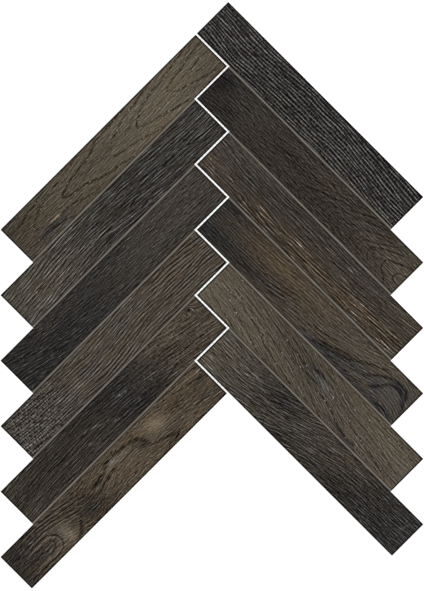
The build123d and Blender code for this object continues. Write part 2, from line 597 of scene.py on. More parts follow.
PLANKS["tile_left_1"] = Plank(
    slot="porcelain_taupe",
    lightness=[(0, 77), (80, 83), (150, 78), (220, 72), (298, 65)],
    warmth=[(0, 0.9), (298, 0.85)],
    fibre=0.38,
    shortness=1.2,
    brush=-12,
    line_width=1.0,
    strokes=[
        *drawn(
            18, 1.18,
            [(2, -14), (10, -14.2), (16, -13.5), (26, -11.5), (37, -9), (48, -8), (57, -6.3), (63, -5),
             (64.5, -3), (62, -0.5), (60, 2), (58, 4.5), (52, 6.8), (44, 9), (36, 11.5), (28, 14),
             (18, 16.5), (8, 18.8), (2, 19.5)],
            [(16, -22.8), (27, -21), (35, -20), (44, -18.5), (52, -17), (62, -14.8), (70, -14.2),
             (79, -14.2), (88, -12), (96, -10.5), (103, -7.5), (108, -4.5), (113, -1), (115.5, 1.8),
             (112, 4.5), (106, 6.5), (98, 9.3), (90, 11), (82, 13), (74, 16.5), (66, 18), (58, 20),
             (50, 22.8)],
            [(66, -23), (80, -20.5), (88, -20.3), (97, -18.5), (108, -17), (116, -16.5), (121, -15),
             (128, -13), (134, -10.5), (142, -9), (150, -8.3)],
        ),
        Stroke(16, 1.1, [(2, -2.8), (10, -2.5), (22, -2), (33, -2.5)]),
        *drawn(
            14, 1.1,
            [(8, -5.5), (18, -4), (26, -1.5), (31, 0.5), (28, 3.5), (24, 6), (14, 7.2)],
            [(232, -20.5), (243, -19.5), (252, -17), (260, -16.5), (268, -15), (276, -13), (297, -11.5)],
        ),
        *drawn(
            18, 1.26,
            [(85, 23.5), (92, 22.5), (102, 20.5), (108, 19.2), (114, 16), (122, 14), (130, 12), (140, 10.2),
             (150, 8.5), (158, 5.5)],
            [(104, -23), (124, -21), (134, -20.5), (145, -20), (160, -18.5), (166, -16), (172, -13.5),
             (180, -12), (188, -11.5), (195, -10), (203, -9.5), (211, -7.5), (218, -5), (224, -3.5),
             (226, -1.5), (223, 1), (218, 3), (208, 4.5), (198, 6), (190, 9.5), (183, 12), (174, 14.5),
             (165, 16.5), (154, 18.5), (147, 20.5), (136, 22.5)],
        ),
        Stroke(14, 1.18, [
            (180, -22), (190, -21), (198, -19.5), (208, -18), (219, -17), (230, -15), (241, -13),
            (246, -11), (254, -9), (260, -6.5), (266, -4), (270, -1), (271, 2.5), (268, 5),
        ]),
        Stroke(16, 1.18, [
            (190, 20), (200, 19), (207, 17), (213, 14.5), (220, 12), (232, 10.3), (244, 9), (252, 7.5),
        ]),
        Stroke(14, 1.26, [
            (226, 23), (233, 21.5), (241, 18), (250, 16), (262, 14.2), (275, 14.5), (297, 12.8),
        ]),
        Stroke(10, 0.95, [(142, -1.5), (152, -0.3), (162, 0), (170, -1)]),
        *drawn(
            9, 0.95,
            [(60, 7), (76, 5.5), (92, 4)],
            [(270, -22), (284, -21.5), (297, -20.8)],
        ),
    ],
    sway=[(0, 0), (298, 0)],
    ring_width=6.0,
    line_depth=[(0, 7), (298, 7)],
    heart=[(0, 1), (28, 0), (65, -3), (116, 2), (223, -2), (298, 0)],
    heart_depth=5.0,
    taper=[(0, 12), (28, 2), (65, -9.5), (116, -21), (168, -32.5), (223, -44), (298, -58)],
    line_flecks=62,
    patches=[
        Patch(44, -17, 16, 5, 6, 0.0),
        Patch(218, -17, 22, 5, 5, -0.1),
        Patch(255, 14, 22, 5, -18, -0.5),
        Patch(246, 9, 8, 0.7, 110, 0.4, -1),
        Patch(180, -2, 30, 4, -8, 0.0),
        Patch(270, -10, 30, 8, -6, 0.2),
    ],
)

PLANKS["tile_left_2"] = Plank(
    slot="porcelain_charcoal",
    lightness=[(0, 47), (60, 51), (120, 48), (180, 54), (240, 66), (298, 66)],
    warmth=[(0, 0.45), (120, 0.48), (200, 0.75), (298, 0.85)],
    brush=-34,
    fibre=0.75,
    shortness=0.8,
    strokes=[
        *drawn(
            -32, 0.55,
            [(3, 15), (12, 15.5)],
            [(20, 15.5), (28, 14), (36, 14.5)],
            [(3, 7), (12, 7), (20, 6), (30, 4)],
            [(50, 9.5), (60, 9), (70, 7.5)],
            [(70, 13), (80, 12), (90, 12.5), (98, 11), (105, 10), (113, 10)],
            [(92, 20.5), (104, 20)],
            [(106, 17.5), (116, 18)],
            [(117, 16), (128, 14.5)],
            [(125, 5), (134, 5.5)],
            [(3, -8), (15, -8.5), (22, -9), (36, -9), (50, -10)],
            [(20, -6), (35, -7), (48, -7.5)],
            [(22, -13.5), (32, -14.5)],
            [(60, -14.5), (70, -15), (78, -15)],
            [(85, -11), (100, -11), (113, -12)],
            [(116, -6), (125, -7), (132, -7.5)],
            [(118, -13), (130, -14), (150, -15.5)],
            [(113, -14.5), (123, -16)],
            [(136, -8), (150, -9), (158, -10)],
            [(122, -1.5), (132, -2), (143, -2)],
            [(200, 17.5), (210, 16)],
            [(210, 10), (225, 10.5), (240, 11)],
            [(168, 7), (178, 6), (188, 6.5), (200, 8)],
            [(180, 2), (195, 2.5), (210, 2)],
            [(185, -6), (197, -7.5), (200, -8.5)],
            [(207, -9.5), (218, -9)],
            [(195, -15.8), (208, -15.5)],
            [(216, -13.5), (230, -13)],
            [(225, -7), (232, -5.5), (240, -4.5), (256, -4)],
            [(235, -7.5), (247, -7.5)],
            [(250, -13.5), (265, -13.5)],
            [(274, 14), (285, 15.5), (295, 16.5)],
            [(265, 1), (285, 1.5)],
        ),
        Stroke(-32, 0.9, [(132, 17), (140, 16), (150, 14.5), (160, 13.5), (167, 12)]),
        *drawn(
            34, 0.65,
            [(0, 9.5), (15, 8), (30, 6), (45, 4)],
            [(2, 0), (15, -0.8), (30, -1.5), (45, -2)],
            [(25, -5), (40, -4.8), (55, -5.3)],
            [(55, 0.5), (70, 1.5), (85, 0), (92, 1.5)],
            [(110, 5), (122, 6), (132, 7)],
            [(130, 0), (140, 1), (150, 2), (165, 2.5)],
            [(78, -3), (90, -3.5), (105, -4.8), (115, -4)],
            [(95, -12.5), (115, -11.5), (137, -11.5)],
            [(205, 12), (218, 13), (232, 13.5), (245, 14.5)],
            [(195, 3.5), (210, 4), (220, 5), (235, 6), (250, 7), (258, 7.5)],
            [(165, -5), (180, -5), (192, -6)],
            [(207, -8.2), (220, -8), (233, -7.5)],
            [(252, 1), (262, 1), (275, 2.5), (293, 3.5)],
            [(160, 8.5), (176, 8.5), (190, 8)],
            [(275, -10.5), (296, -11)],
            [(255, -22), (270, -21)],
        ),
    ],
    sway=[(0, 0), (60, -3), (120, -7), (165, -10), (220, -8), (298, -2)],
    ring_width=3.8,
    line_depth=[(0, 10), (298, 12)],
    streaks=[(0, 26), (150, 26), (298, 20)],
    patches=[
        Patch(150, 16, 36, 7, -7, 0.0),
        Patch(150, 14, 17, 0.7, 40, 0.0, -7),
        Patch(180, 17, 25, 4, -12, -0.4),
    ],
)

PLANKS["tile_left_3"] = Plank(
    slot="porcelain_umber",
    lightness=[(0, 58), (60, 57), (120, 51), (160, 45), (200, 41), (298, 39)],
    warmth=[(0, 0.64), (140, 0.42), (200, -0.05), (298, -0.05)],
    fibre=0.46,
    shortness=1.3,
    brush=-14,
    strokes=[
        *drawn(
            -16, 0.6,
            [(238, 16), (247, 14), (255, 12.7)],
            [(246, 11.6), (256, 9), (268, 7.4)],
            [(270, 19), (278, 17.5), (288, 15.5)],
            [(271, 9.5), (280, 7.5), (290, 4.2)],
            [(250, 0), (258, -3), (268, -5.4)],
            [(255, -4.4), (268, -7), (281, -8.6)],
            [(265, 2), (276, -1), (287, -3.3)],
            [(272, -10.8), (280, -12.5), (291, -15)],
            [(232, 20), (245, 18.5), (256, 17)],
            [(278, 12.5), (288, 10), (297, 8.5)],
            [(240, 5), (250, 3)],
            [(95, 8), (110, 7.5)],
            [(150, -10), (162, -9)],
        ),
        *drawn(
            16, 0.65,
            [(240, 13.5), (252, 11), (264, 9.5)],
            [(262, 15), (275, 12), (288, 8)],
            [(258, 4), (270, 0.5), (284, -2)],
            [(262, -6.5), (276, -9.5), (290, -12)],
            [(110, -23), (130, -22.5)],
            [(10, 10), (24, 8), (36, 7)],
            [(60, 3), (76, 1), (90, 1)],
        ),
    ],
    sway=[(0, 0), (150, -3), (230, -8), (298, -22)],
    ring_width=3.4,
    line_depth=[(0, 5), (298, 6)],
    streaks=[(0, 8), (180, 8), (230, 22), (298, 26)],
    patches=[Patch(128, -18, 14, 4, -8, -0.4), Patch(230, -15, 40, 6, 5, 0.7)],
)

PLANKS["tile_left_4"] = Plank(
    slot="porcelain_walnut",
    lightness=[(0, 64), (80, 64), (200, 61), (298, 56)],
    warmth=[(0, 0.88), (150, 0.78), (298, 0.6)],
    brush=-66,
    fibre=0.5,
    sway=[(0, 2), (70, -1), (110, 0), (160, 4), (200, 5), (240, 3), (298, -1)],
    ring_width=3.4,
    line_depth=[(0, 20), (298, 10)],
    streaks=[(0, 8), (298, 16)],
    ticks=[(0, 8), (220, 10), (260, 50), (298, 50)],
    patches=[
        Patch(206, 5, 5, 12, 10, 0.2),
        Patch(36, 16, 20, 6, 5, 0.0),
        Patch(126, -16, 32, 6, -6, -0.1),
        Patch(240, 2, 10, 6, -5, 0.0),
    ],
)

PLANKS["tile_left_5"] = Plank(
    slot="porcelain_umber",
    lightness=[(0, 66), (50, 61), (90, 49), (120, 42), (200, 44), (298, 50)],
    warmth=[(0, 1.05), (80, 0.92), (120, 0.3), (180, 0.6), (298, 0.95)],
    brush=-12,
    fibre=0.52,
    shortness=0.85,
    strokes=[
        *drawn(
            -26, 0.6,
            [(107, 17), (120, 17), (128, 16.5), (132, 15.5), (143, 16)],
            [(120, 12.5), (130, 12), (145, 12)],
            [(126, -3), (129, -2.5)],
            [(130, -4.5), (133, -6.5), (137, -8), (140, -8.8)],
            [(148, 11), (160, 11), (163, 10), (172, 9.5)],
            [(165, 2.5), (172, 1), (180, 0.3), (188, -0.8), (193, -1)],
            [(193, 8.5), (196, 8)],
            [(102, 8), (104, 9)],
            [(102, 2), (103, 1)],
            [(144, 4.5), (146, 4.5)],
            [(163, 5), (163.5, 6)],
        ),
        *drawn(
            -15, 0.6,
            [(57.5, 3), (58, 10)],
            [(125, 20), (134, 20)],
            [(38, -18), (44, -14), (52, -12)],
            [(52, -19), (57, -15), (66, -13)],
            [(60, -20), (66, -18), (74, -19)],
            [(72, -8), (76, -12), (84, -13)],
            [(78, -15), (80, -19), (88, -20)],
            [(82, -10), (86, -15)],
            [(42, -21.5), (50, -20)],
            [(150, -11), (156, -10.5)],
            [(205, -11.5), (212, -11)],
            [(30, 2), (38, -2), (44, -3)],
        ),
        *drawn(
            20, 0.7,
            [(10, 12.5), (20, 11), (30, 9.5), (45, 8), (58, 7)],
            [(0, 1), (8, 1)],
            [(0, -15), (10, -14.5), (14, -14.5)],
            [(30, -10), (40, -9.5)],
            [(46, -16), (56, -17)],
            [(58, -5), (68, -7)],
            [(230, -9), (245, -8), (260, -7), (275, -6), (290, -4)],
            [(225, 18), (240, 19.5), (262, 20.5)],
            [(195, -2.5), (215, -1.5), (240, -1)],
            [(60, 12), (80, 16), (96, 19)],
        ),
        Stroke(26, 1.6, [(15, -20), (17.5, -20)]),
    ],
    sway=[(0, 0), (75, -14), (150, -22), (220, -24), (260, -22), (298, -17)],
    ring_width=4.2,
    line_depth=[(0, 14), (120, 8), (298, 8)],
    streaks=[(0, 26), (80, 20), (130, 14), (298, 10)],
    ticks=[(0, 14), (90, 16), (130, 2), (298, 2)],
    knots=[Knot(16, -19.5, 6, 6, 4, 6)],
    patches=[
        Patch(86, -16, 14, 6, 9, 0.2),
        Patch(16, -19.5, 2.4, 1.8, -38, -0.4),
        Patch(60, -16, 30, 6, 10, 0.0),
        Patch(105, 14, 25, 8, -8, -0.4),
        Patch(97, 5.5, 1.4, 0.9, 55, 0.0),
        Patch(121, 11, 2.2, 0.8, 50, 0.0),
        Patch(126, -4.5, 1.5, 1.0, 55, 0.0),
        Patch(133, -7.5, 2.0, 0.9, 50, 0.0),
        Patch(155, 8.5, 2.6, 0.8, 42, 0.0),
        Patch(162, 3.5, 1.7, 0.8, 50, 0.0),
        Patch(176, -1.5, 5.0, 0.7, 45, 0.0, -9),
        Patch(188, -4, 2.4, 0.8, 40, 0.0),
        Patch(193, 8, 2.0, 0.8, 42, 0.0),
    ],
)

PLANKS["tile_left_6"] = Plank(
    slot="porcelain_walnut",
    lightness=[(0, 65), (50, 65), (90, 69), (130, 71), (190, 61), (240, 69), (298, 53)],
    warmth=[(0, 1.1), (120, 1.05), (180, 0.95), (240, 0.82), (298, 0.72)],
    fibre=0.55,
    shortness=1.7,
    line_width=0.8,
    brush=-12,
    strokes=[
        Stroke(26, 0.9, [
            (298, 18.3), (280, 18.5), (268, 18.3), (256, 19), (248, 18.3), (242, 16.3), (238.5, 12.5),
            (237.3, 9), (237.6, 5), (239, 1), (242, -2), (246, -4.8), (252, -6), (264, -5.6), (282, -5),
        ]),
        Stroke(-22, 0.8, [
            (240.5, 10), (240, 6.5), (241.5, 2), (245, -0.8), (251, -2.8), (262, -3), (275, -2.5),
        ]),
        Stroke(20, 0.8, [
            (298, 11.8), (280, 12.6), (268, 11.8), (256, 12.4), (249, 11.5), (245.5, 8), (245.3, 4),
            (248, 1.3), (256, 0.5), (268, 1),
        ]),
        *drawn(
            -14, 0.6,
            [(249, 8), (258, 8.5), (268, 8), (280, 8.3)],
            [(248, 5), (256, 4.5), (266, 5)],
            [(118, -13), (130, -13), (140, -13.6), (148, -12)],
        ),
        *drawn(
            30, 0.75,
            [(200, 0.5), (207, -1), (214, -3.2), (222, -5.2), (231, -7.2), (240, -9), (248, -10.3),
             (258, -10.4), (272, -9.6), (290, -9)],
            [(194, -3), (203, -5), (212, -7.2), (221, -9.3), (230, -11.3), (240, -13), (250, -14),
             (264, -13.6), (284, -12.6)],
            [(184, -7), (195, -8.3), (205, -10.2), (215, -12), (225, -13.7), (236, -15.8), (247, -17.2),
             (260, -17.2), (280, -16.2)],
            [(188, -12), (200, -14), (210, -15.8), (221, -17.5), (232, -19), (243, -20.4), (256, -20.8),
             (276, -19.8)],
        ),
        *drawn(
            -22, 0.65,
            [(222, -3.6), (231, -5.4), (239, -6.9), (247, -8.4), (258, -8.7), (272, -8)],
            [(226, -8.4), (236, -10.8), (246, -12.1), (257, -12.3), (270, -11.7), (286, -11)],
        ),
        Stroke(-20, 0.65, [(216, -10.6), (228, -13), (240, -15), (252, -15.8), (266, -15.3), (284, -14.4)]),
        Stroke(-18, 0.65, [(206, -13.4), (218, -15.7), (231, -17.4), (244, -19), (258, -19.2), (276, -18)]),
        Stroke(22, 1.9, [(225, 21), (218, 19), (213, 15), (209, 10), (205, 7)]),
        Stroke(17, 2.2, [
            (97, 0), (99, -4), (102, -8), (107, -12), (115, -14), (126, -14.2), (138, -15.8), (146, -14.7),
            (151, -12.5), (156, -9.7), (161, -8.3), (168, -6.5), (175, -6.2),
        ]),
        Stroke(18, 1.7, [(140, -4.8), (150, -3.7), (157, -1.8), (163, -1), (168, 1.5), (176, 2.8)]),
        *drawn(
            20, 0.9,
            [(110, -5), (124, -4.6), (136, -5)],
            [(0, -7.5), (10, -9.8), (22, -12.5), (34, -14.5), (46, -18)],
        ),
        *drawn(
            24, 0.8,
            [(18, 10), (28, 9.8), (38, 9.2), (48, 6.6), (58, 5), (68, 4)],
            [(34, -21.3), (44, -22), (56, -23)],
        ),
        Stroke(-20, 0.6, [(22, 7.8), (30, 6.6), (37, 8), (48, 7.8), (56, 6.2)]),
        Stroke(26, 0.8, [(0, -19.3), (8, -20.8), (17, -23)]),
        Stroke(20, 1.5, [(92, 21), (80, 20), (70, 18.5), (64, 15.5)]),
        Stroke(18, 1.2, [(68, 13.5), (78, 12), (85, 9.5), (93, 7.2), (99, 4)]),
        *drawn(
            -12, 0.6,
            [(84, 11.5), (92, 9), (100, 7.5)],
            [(150, 14), (164, 12), (176, 7.5)],
        ),
        *drawn(
            16, 0.7,
            [(176, 14), (184, 11), (194, 9.5)],
            [(152, 17.5), (166, 14.5), (178, 9.5), (188, 5)],
        ),
    ],
    sway=[(0, 4), (60, -2), (110, -6), (150, -5), (190, 0), (215, -4), (240, -10), (262, -11), (298, -10)],
    ring_width=3.6,
    line_depth=[(0, 6), (170, 8), (210, 14), (298, 14)],
    patches=[
        Patch(77, -7, 13, 7.5, 34, -0.2, -6, 0.4),
        Patch(86, -14, 12, 5, 12, -0.05),
        Patch(46, 15, 26, 6, 13, 0.0),
        Patch(20, 8, 12, 3, -8, -0.25),
        Patch(8, -8, 10, 5, -14, -0.2),
        Patch(50, -6, 9, 6, -8, 0.3),
        Patch(16, -17, 22, 2.2, 16, -0.1, -8),
        Patch(71, 16, 10, 4.5, -20, -0.1, -12),
        Patch(102, -1, 7, 4, -30, -0.25),
        Patch(107, -10, 7, 4, -16, -0.1),
        Patch(130, 8, 22, 8, 1, 0.1),
        Patch(136, -9.5, 16, 3.5, 20, -0.4),
        Patch(167, -6.5, 7, 2.2, -20, -0.2),
        Patch(184, 0, 11, 3.5, -22, -0.2, -20),
        Patch(192, 8, 14, 6, -20, -0.3, -20),
        Patch(172, -14, 22, 5, 8, 0.2),
        Patch(228, 9, 8, 12, 33, -0.1, 12, 0.3),
        Patch(266, 6.5, 18, 5.5, -20, 0.0, 0, 0.3),
        Patch(290, 9, 12, 10, -12, 0.1, 0, 0.3),
        Patch(262, 15, 24, 2.2, 14, -0.1),
        Patch(256, -2, 14, 1.6, 14, 0.2),
        Patch(285, -14, 20, 8, -14, -0.35),
        Patch(246, -16, 20, 6, -9, -0.3),
    ],
)

# How far in from its ends a drawn line reaches its full strength, its share at the
# very end, and how much stronger it is drawn, because a line finer than a pixel
# looks softer than it is
STROKE_FADE = 5.0
STROKE_END = 0.3
STROKE_STRENGTH = 1.9

# The lighter seam on both sides of a drawn line: its strength, and its reach in
# widths of the line
SEAM = 0.35
SEAM_REACH = 2.4

# Fineness of the printed face's mesh
STEPS_ALONG = 300
STEPS_ACROSS = 92
COLUMNS = STEPS_ALONG + 1
ROWS = STEPS_ACROSS + 1

# Depth of the brushed relief, which only goes down from the face, how fast a growth
# line or a drawn line gets its full depth as it gets darker, and the steep side of
# a growth line, in rings
LINE_RELIEF = 0.14
FIBRE_RELIEF = 0.07
LINE_CUT = 12.0
STROKE_CUT = 1 / 40
LINE_WALL = 0.06
FIBRE_RISE = (-0.1, 1.2)

# Slow noise of the figure: its strength, and over how many millimetres along and
# across the grain it changes; each tile has a run of seeds of its own
SEEDS_PER_TILE = 10
WANDER = (0.9, 45, 14)
FINE_WANDER = (0.35, 14, 6)
WARMTH_DRIFT = (0.15, 50, 9)
FIBRE_BUNDLES = (1.0, 18, 1.3)
THIN_FIBRES = (0.6, 9, 0.8)
BAND_REACH = (60, 7)

# The numbers that every vertex of a tile holds for the material, by attribute
PRINT_PARTS = {
    "print_grain": ("along", "level", "seed"),
    "print_tone": ("tone", "warmth", "fibre"),
    "print_rings": ("rings", "line_depth", "line_flecks"),
    "print_marks": ("streaks", "ticks", "printed"),
    "print_brush": ("brush", "shortness", "line_share"),
    "print_edges": ("filled_gap", "open_gap", "stroke"),
}


def slow_noise(kind, along, across, seed):
    """Noise of a strength that changes over the two reaches of its kind."""
    strength, reach_along, reach_across = kind
    return strength * smooth_noise(along / reach_along, across / reach_across, seed)


def patch_weight(patch, along, across):
    """1 in the middle of a patch, falling smoothly to 0 at about twice its reach."""
    turn = math.radians(patch.tilt)
    x = along - patch.along
    y = across - patch.across
    main = (x * math.cos(turn) + y * math.sin(turn)) / patch.reach_along
    side = (y * math.cos(turn) - x * math.sin(turn)) / patch.reach_across
    return np.exp(-(main * main + side * side))


def stroke_path(stroke):
    """Places along a drawn line about a millimetre apart, and how far along it they lie."""
    points = np.array(stroke.points, float)
    walked = np.concatenate([[0], np.cumsum(np.hypot(*np.diff(points, axis=0).T))])
    steps = np.linspace(0, walked[-1], int(walked[-1]) + 2)
    path_along = curve(list(zip(walked, points[:, 0])), steps)
    path_across = curve(list(zip(walked, points[:, 1])), steps)
    return path_along, path_across, steps


def stroke_marks(strokes, along, across):
    """How much darker the drawn lines make each place, in grey levels."""
    marks = np.zeros_like(along)
    for stroke in strokes:
        path_along, path_across, steps = stroke_path(stroke)
        margin = 3 * stroke.width
        near = (along > path_along.min() - margin) & (along < path_along.max() + margin)
        near &= (across > path_across.min() - margin) & (across < path_across.max() + margin)
        gap_along = along[near, None] - path_along
        gap_across = across[near, None] - path_across
        gap = gap_along * gap_along + gap_across * gap_across
        closest = gap.argmin(axis=1)
        gap = gap[np.arange(len(closest)), closest]
        from_end = np.minimum(steps[closest], steps[-1] - steps[closest])
        fade = STROKE_END + (1 - STROKE_END) * smooth_step(0, STROKE_FADE, from_end)
        middle = np.exp(-gap / stroke.width ** 2)
        beside = np.exp(-gap / (SEAM_REACH * stroke.width) ** 2)
        weight = ((1 + SEAM) * middle - SEAM * beside) * fade
        marks[near] += STROKE_STRENGTH * stroke.darkness * weight
    return marks


def figure(plank, along, across, seed):
    """The pattern numbers of a tile's face at the given places."""
    wander = slow_noise(WANDER, along, across, seed)
    wander += slow_noise(FINE_WANDER, along, across, seed + 1)
    level = across - curve(plank.sway, along) + wander
    for knot in plank.knots:
        reach_along = np.where(along < knot.along, knot.reach_inward, knot.reach_outward)
        x = (along - knot.along) / reach_along
        y = (across - knot.across) / knot.reach_across
        level = level + knot.lift * np.exp(-(x * x + y * y))
    if plank.heart:
        middle = curve(plank.heart, along)
        radius = np.hypot(level - middle, plank.heart_depth)
        rings = (radius - curve(plank.taper, along)) / plank.ring_width
    else:
        rings = level / plank.ring_width
    tone = curve(plank.lightness, along)
    tone = tone + slow_noise((plank.bands, *BAND_REACH), along, level, seed + 2)
    warmth = curve(plank.warmth, along) + slow_noise(WARMTH_DRIFT, along, level, seed + 3)
    lively = 1.0
    for patch in plank.patches:
        weight = patch_weight(patch, along, across)
        tone = tone + patch.lightness * weight
        warmth = warmth + patch.warmth * weight
        lively = lively * (1 - min(patch.calm, 1) * weight)
    return {
        "along": along,
        "level": level,
        "rings": rings,
        "tone": tone / 255,
        "warmth": warmth,
        "fibre": plank.fibre * lively,
        "line_depth": lively * curve(plank.line_depth, along) / 255,
        "streaks": curve(plank.streaks, along) * curve(plank.streaks_across, across) / 255,
        "ticks": curve(plank.ticks, along) / 255,
    }


def line_share(plank, along, across, seed):
    """The share of a ring that its growth line takes, so that all are equally wide."""
    step = 0.5
    most = 0.5
    rings = [
        figure(plank, along + step * x, across + step * y, seed)["rings"]
        for x, y in ((1, 0), (-1, 0), (0, 1), (0, -1))
    ]
    rise = np.hypot(rings[0] - rings[1], rings[2] - rings[3]) / (2 * step)
    return plank.line_width * np.minimum(rise, most)


def edge_gaps(name, along, across):
    """Distances to a tile's nearest filled edge, and to its nearest unfilled one."""
    _, leg, number = name.split("_")[:3]
    upward = across if leg == "right" else -across
    to_upper = TILE_WIDTH / 2 - EDGE_BEVEL - upward
    to_lower = TILE_WIDTH / 2 - EDGE_BEVEL + upward
    upper_open = np.logical_or(number == "1", along > FILLER_LENGTH)
    lower_open = np.logical_or(number == str(TILES_PER_LEG), along < PITCH)
    far = TILE_LENGTH
    filled = np.minimum(np.where(upper_open, far, to_upper), np.where(lower_open, far, to_lower))
    opened = np.minimum(np.where(upper_open, to_upper, far), np.where(lower_open, to_lower, far))
    ends = np.minimum(along, TILE_LENGTH - along) - EDGE_BEVEL
    return filled, np.minimum(opened, ends)


def relief(plank, along, across, fields, seed):
    """How far the brushed face lies below the tile's highest plane, in millimetres."""
    phase = fields["rings"] - np.floor(fields["rings"])
    line = phase ** 3 * smooth_step(0, LINE_WALL, 1 - phase)
    cut = LINE_RELIEF * np.minimum(1, np.abs(fields["line_depth"]) * LINE_CUT) * line
    cut += LINE_RELIEF * np.clip(stroke_marks(plank.strokes, along, across) * STROKE_CUT, 0, 1)
    fibres = slow_noise(FIBRE_BUNDLES, along, fields["level"], seed + 5)
    fibres += slow_noise(THIN_FIBRES, along, fields["level"], seed + 6)
    return cut + FIBRE_RELIEF * smooth_step(*FIBRE_RISE, fibres)


# A tile's mesh, in its own frame: length along X, middle at the origin, back at Z 0

def printed_face(plank, seed):
    """Points of the brushed face, column by column from the inner end."""
    half_length = TILE_LENGTH / 2 - EDGE_BEVEL
    half_width = TILE_WIDTH / 2 - EDGE_BEVEL
    x = np.linspace(-half_length, half_length, COLUMNS)
    y = np.linspace(-half_width, half_width, ROWS)
    x, y = (grid.ravel() for grid in np.meshgrid(x, y, indexing="ij"))
    along = x + TILE_LENGTH / 2
    cut = relief(plank, along, y, figure(plank, along, y, seed), seed)
    return np.column_stack([x, y, TILE_THICKNESS - cut])


def face_rim():
    """The face's outermost points, once round, starting at the inner right corner."""
    rim = [i * ROWS for i in range(STEPS_ALONG)]
    rim += [STEPS_ALONG * ROWS + j for j in range(STEPS_ACROSS)]
    rim += [i * ROWS + STEPS_ACROSS for i in range(STEPS_ALONG, 0, -1)]
    rim += list(range(STEPS_ACROSS, 0, -1))
    return np.array(rim)


def bevel_foot(rim_points):
    """Points at the foot of the bevel, one for each point of the rim."""
    foot = rim_points.copy()
    on_x = np.isclose(np.abs(foot[:, 0]), TILE_LENGTH / 2 - EDGE_BEVEL)
    on_y = np.isclose(np.abs(foot[:, 1]), TILE_WIDTH / 2 - EDGE_BEVEL)
    foot[on_x, 0] = np.sign(foot[on_x, 0]) * TILE_LENGTH / 2
    foot[on_y, 1] = np.sign(foot[on_y, 1]) * TILE_WIDTH / 2
    foot[:, 2] = TILE_THICKNESS - EDGE_BEVEL
    return foot


def back_profile():
    """The back's section from one long edge to the other: places across and heights."""
    points = [(-TILE_WIDTH / 2, 0.0)]
    first = -GROOVE_PITCH * (GROOVE_COUNT - 1) / 2
    for i in range(GROOVE_COUNT):
        middle = first + i * GROOVE_PITCH
        half = GROOVE_MOUTH / 2
        points += [
            (middle - half, 0.0),
            (middle - half + GROOVE_DEPTH, GROOVE_DEPTH),
            (middle + half - GROOVE_DEPTH, GROOVE_DEPTH),
            (middle + half, 0.0),
        ]
    points.append((TILE_WIDTH / 2, 0.0))
    return np.array(points)


def tile_faces(rim, profile_points):
    """Faces of the printed face, the bevel, the four cut sides and the back."""
    faces = []
    for i in range(STEPS_ALONG):
        for j in range(STEPS_ACROSS):
            a = i * ROWS + j
            faces.append((a, a + ROWS, a + ROWS + 1, a + 1))
    foot = COLUMNS * ROWS
    around = len(rim)
    for k in range(around):
        following = (k + 1) % around
        faces.append((rim[following], rim[k], foot + k, foot + following))
    inner_back = foot + around
    outer_back = inner_back + profile_points
    last = profile_points - 1
    corners = np.cumsum([0, STEPS_ALONG, STEPS_ACROSS, STEPS_ALONG, STEPS_ACROSS])
    sides = [
        [foot + k % around for k in range(end, start - 1, -1)]
        for start, end in zip(corners, corners[1:])
    ]
    faces.append((*sides[0], inner_back, outer_back))
    faces.append((*sides[1], *range(outer_back, outer_back + last + 1)))
    faces.append((*sides[2], outer_back + last, inner_back + last))
    faces.append((*sides[3], *range(inner_back + last, inner_back - 1, -1)))
    for k in range(last):
        faces.append((inner_back + k, inner_back + k + 1, outer_back + k + 1, outer_back + k))
    return faces


def store_print(mesh, numbers):
    """The print's numbers at every vertex, which the material reads by name."""
    for name, parts in PRINT_PARTS.items():
        columns = [np.broadcast_to(numbers[part], len(mesh.vertices)) for part in parts]
        attribute = mesh.attributes.new(name, "FLOAT_VECTOR", "POINT")
        attribute.data.foreach_set("vector", np.column_stack(columns).astype(np.float32).ravel())


def new_mesh(name, points, faces):
    """A mesh from points in millimetres."""
    mesh = bpy.data.meshes.new(name)
    mesh.from_pydata((np.array(points) * MM).tolist(), [], faces)
    mesh.update()
    return mesh


def tile_mesh(name, plank, seed):
    """One tile with its print."""
    face = printed_face(plank, seed)
    rim = face_rim()
    profile = back_profile()
    ends = [np.full(len(profile), end * TILE_LENGTH / 2) for end in (-1, 1)]
    back = [np.column_stack([x, profile]) for x in ends]
    points = np.vstack([face, bevel_foot(face[rim]), *back])
    mesh = new_mesh(name, points, tile_faces(rim, len(profile)))

    # Below the bevel the print doesn't show, and only its place matters
    along = np.clip(points[:, 0] + TILE_LENGTH / 2, 0, TILE_LENGTH)
    across = points[:, 1]
    filled_gap, open_gap = edge_gaps(name, along, across)
    store_print(mesh, {
        **figure(plank, along, across, seed),
        "seed": seed,
        "line_flecks": plank.line_flecks / 255,
        "printed": np.arange(len(points)) < len(face),
        "brush": plank.brush / 255,
        "shortness": plank.shortness,
        "line_share": line_share(plank, along, across, seed),
        "filled_gap": filled_gap,
        "open_gap": open_gap,
        "stroke": stroke_marks(plank.strokes, along, across) / 255,
    })
    return mesh


# Node helpers

